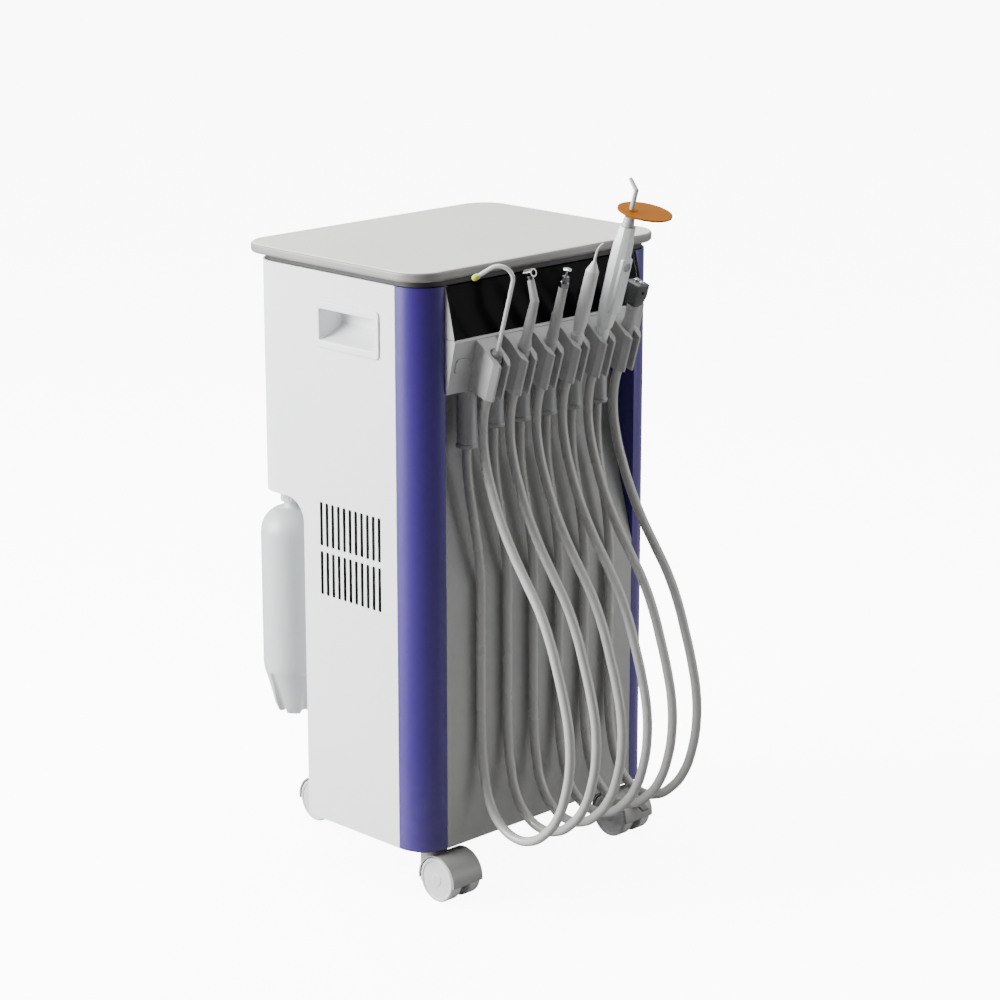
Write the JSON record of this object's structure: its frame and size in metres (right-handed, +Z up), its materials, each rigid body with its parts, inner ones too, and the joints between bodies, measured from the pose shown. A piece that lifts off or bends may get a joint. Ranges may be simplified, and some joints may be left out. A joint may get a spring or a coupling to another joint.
{
  "type": "portable dental unit",
  "caption": "Wheeled dental cabinet with a worktop, a front console holding instruments on hanging hoses, side handles and water bottles hung at the rear.",
  "frame": {"origin": "on the floor, below the middle of the object's outer box measured without the hoses", "axes": "+Z up, -Y towards the console and its instruments, +X to the right of someone who looks from the front along +Y"},
  "size_m": [0.433, 0.5175, 0.8923],
  "materials": {
    "worktop": "fine matt laminate",
    "dark_seal": "matt",
    "white_panel": "satin powder coat",
    "grey_panel": "satin powder coat",
    "purple_column": "satin anodised and lacquered",
    "console_grey": "semi-gloss moulded",
    "black_fascia": "high gloss",
    "holder_plastic": "semi-gloss moulded",
    "gland_grey": "satin",
    "hose_grey": "smooth silicone",
    "handpiece_grey": "satin",
    "polished_steel": "polished",
    "ejector_clear": "polished",
    "ejector_tip": "satin",
    "light_white": "gloss",
    "light_rod": "satin",
    "amber": "transparent amber",
    "dark_plastic": "satin",
    "caster_grey": "satin moulded nylon",
    "tyre_grey": "satin",
    "brake_dark": "satin",
    "bottle": "milky blown plastic",
    "cap_grey": "satin",
    "base_steel": "matt",
    "machine_grey": "satin",
    "tank_white": "satin",
    "board_green": "satin",
    "rocker": "gloss"
  },
  "bodies": {
    "cabinet": {"worktop": "worktop", "top_plate": "dark_seal", "side_panel_left": "white_panel", "side_panel_right": "white_panel", "column_left": "purple_column", "column_right": "purple_column", "front_panel": "grey_panel", "console_frame": "console_grey", "control_fascia": "black_fascia", "holder_bar": "console_grey", "instrument_holders": "holder_plastic", "hose_glands": "gland_grey", "carry_handles": "white_panel", "rear_cover": "white_panel", "bottle_bay_left": "white_panel", "bottle_bay_right": "white_panel", "bottle_caps": "cap_grey", "base_plate": "base_steel", "mains_inlet": "dark_plastic", "compressor": "machine_grey", "air_tank": "tank_white", "suction_pump": "machine_grey", "control_unit": "board_green", "hose_1": "hose_grey", "hose_2": "hose_grey", "hose_3": "hose_grey", "hose_4": "hose_grey", "hose_5": "hose_grey", "hose_6": "hose_grey"},
    "ejector": {"ejector_valve": "handpiece_grey", "ejector_tube": "ejector_clear", "ejector_tip": "ejector_tip"},
    "turbine": {"turbine_sleeve": "handpiece_grey", "turbine_head": "polished_steel"},
    "micromotor": {"motor_sleeve": "handpiece_grey", "motor_chuck": "polished_steel"},
    "polisher": {"polishing_disc": "polished_steel"},
    "scaler": {"scaler_sleeve": "handpiece_grey", "scaler_tip": "polished_steel"},
    "curing_light": {"light_body": "light_white"},
    "trigger": {"light_trigger": "handpiece_grey"},
    "guide": {"light_guide": "light_rod"},
    "eye_shield": {"light_shield": "amber"},
    "syringe": {"syringe_body": "handpiece_grey", "syringe_head": "dark_plastic"},
    "air_key": {"air_button": "polished_steel"},
    "water_key": {"water_button": "polished_steel"},
    "bar_key": {"bar_button": "holder_plastic"},
    "switch_rocker": {"power_switch": "rocker"},
    "bottle_l": {"bottle_left": "bottle"},
    "bottle_r": {"bottle_right": "bottle"},
    "pedal": {"brake_pedal": "brake_dark"},
    "hood_front_left": {"caster_front_left": "caster_grey"},
    "wheels_front_left": {"wheels_front_left": "tyre_grey"},
    "hood_front_right": {"caster_front_right": "caster_grey"},
    "wheels_front_right": {"wheels_front_right": "tyre_grey"},
    "hood_rear_left": {"caster_rear_left": "caster_grey"},
    "wheels_rear_left": {"wheels_rear_left": "tyre_grey"},
    "hood_rear_right": {"caster_rear_right": "caster_grey"},
    "wheels_rear_right": {"wheels_rear_right": "tyre_grey"}
  },
  "joints": [
    {"name": "ejector_lift", "type": "slide", "parent": "cabinet", "child": "ejector", "axis": [0, -0.2807, 0.9598], "range_m": [0, 0.06], "deforming": ["hose_1"]},
    {"name": "turbine_lift", "type": "slide", "parent": "cabinet", "child": "turbine", "axis": [0, -0.2807, 0.9598], "range_m": [0, 0.06], "deforming": ["hose_2"]},
    {"name": "micromotor_lift", "type": "slide", "parent": "cabinet", "child": "micromotor", "axis": [0, -0.2807, 0.9598], "range_m": [0, 0.06], "deforming": ["hose_3"]},
    {"name": "scaler_lift", "type": "slide", "parent": "cabinet", "child": "scaler", "axis": [0, -0.2807, 0.9598], "range_m": [0, 0.06], "deforming": ["hose_4"]},
    {"name": "curing_light_lift", "type": "slide", "parent": "cabinet", "child": "curing_light", "axis": [0, -0.2807, 0.9598], "range_m": [0, 0.06], "deforming": ["hose_5"]},
    {"name": "syringe_lift", "type": "slide", "parent": "cabinet", "child": "syringe", "axis": [0, -0.2807, 0.9598], "range_m": [0, 0.06], "deforming": ["hose_6"]},
    {"name": "polisher_spin", "type": "hinge", "parent": "micromotor", "child": "polisher", "pos_m": [-0.023, -0.17429, 0.77437], "axis": [0, -0.2807, 0.9598], "continuous": true},
    {"name": "trigger_press", "type": "slide", "parent": "curing_light", "child": "trigger", "axis": [0, 0.9598, 0.2807], "range_m": [0, 0.0015], "stiffness_N_per_m": 400, "springref_m": -0.0008},
    {"name": "guide_turn", "type": "hinge", "parent": "curing_light", "child": "guide", "pos_m": [0.069, -0.19254, 0.83676], "axis": [0, -0.2807, 0.9598], "continuous": true},
    {"name": "shield_turn", "type": "hinge", "parent": "guide", "child": "eye_shield", "pos_m": [0.069, -0.19647, 0.8502], "axis": [0, -0.2807, 0.9598], "continuous": true},
    {"name": "air_press", "type": "slide", "parent": "syringe", "child": "air_key", "axis": [0, 0.2807, -0.9598], "range_m": [0, 0.002], "stiffness_N_per_m": 400, "springref_m": -0.001},
    {"name": "water_press", "type": "slide", "parent": "syringe", "child": "water_key", "axis": [0, 0.2807, -0.9598], "range_m": [0, 0.002], "stiffness_N_per_m": 400, "springref_m": -0.001},
    {"name": "bar_press", "type": "slide", "parent": "cabinet", "child": "bar_key", "axis": [0, 0.9751, 0.2216], "range_m": [0, 0.002], "stiffness_N_per_m": 500, "springref_m": -0.001},
    {"name": "power_rock", "type": "hinge", "parent": "cabinet", "child": "switch_rocker", "pos_m": [0, 0.19, 0.143], "axis": [1, 0, 0], "range_deg": [-16, 0]},
    {"name": "bottle_l_unscrew", "type": "hinge", "parent": "cabinet", "child": "bottle_l", "pos_m": [-0.172, 0.158, 0.4835], "axis": [0, 0, 1], "range_deg": [-540, 0]},
    {"name": "bottle_r_unscrew", "type": "hinge", "parent": "cabinet", "child": "bottle_r", "pos_m": [0.172, 0.158, 0.4835], "axis": [0, 0, 1], "range_deg": [-540, 0]},
    {"name": "front_left_swivel", "type": "hinge", "parent": "cabinet", "child": "hood_front_left", "pos_m": [-0.157, -0.081, 0.0615], "axis": [0, 0, 1], "continuous": true},
    {"name": "front_left_roll", "type": "hinge", "parent": "hood_front_left", "child": "wheels_front_left", "pos_m": [-0.157, -0.111, 0.0285], "axis": [1, 0, 0], "continuous": true},
    {"name": "front_right_swivel", "type": "hinge", "parent": "cabinet", "child": "hood_front_right", "pos_m": [0.157, -0.081, 0.0615], "axis": [0, 0, 1], "continuous": true},
    {"name": "front_right_roll", "type": "hinge", "parent": "hood_front_right", "child": "wheels_front_right", "pos_m": [0.157, -0.111, 0.0285], "axis": [1, 0, 0], "continuous": true},
    {"name": "rear_left_swivel", "type": "hinge", "parent": "cabinet", "child": "hood_rear_left", "pos_m": [-0.081, 0.1735, 0.0615], "axis": [0, 0, 1], "continuous": true},
    {"name": "rear_left_roll", "type": "hinge", "parent": "hood_rear_left", "child": "wheels_rear_left", "pos_m": [-0.081, 0.2035, 0.0285], "axis": [1, 0, 0], "continuous": true},
    {"name": "rear_right_swivel", "type": "hinge", "parent": "cabinet", "child": "hood_rear_right", "pos_m": [0.081, 0.1735, 0.0615], "axis": [0, 0, 1], "continuous": true},
    {"name": "rear_right_roll", "type": "hinge", "parent": "hood_rear_right", "child": "wheels_rear_right", "pos_m": [0.081, 0.2035, 0.0285], "axis": [1, 0, 0], "continuous": true},
    {"name": "brake_press", "type": "hinge", "parent": "hood_front_right", "child": "pedal", "pos_m": [0.157, -0.1315, 0.0485], "axis": [1, 0, 0], "range_deg": [0, 10]}
  ]
}
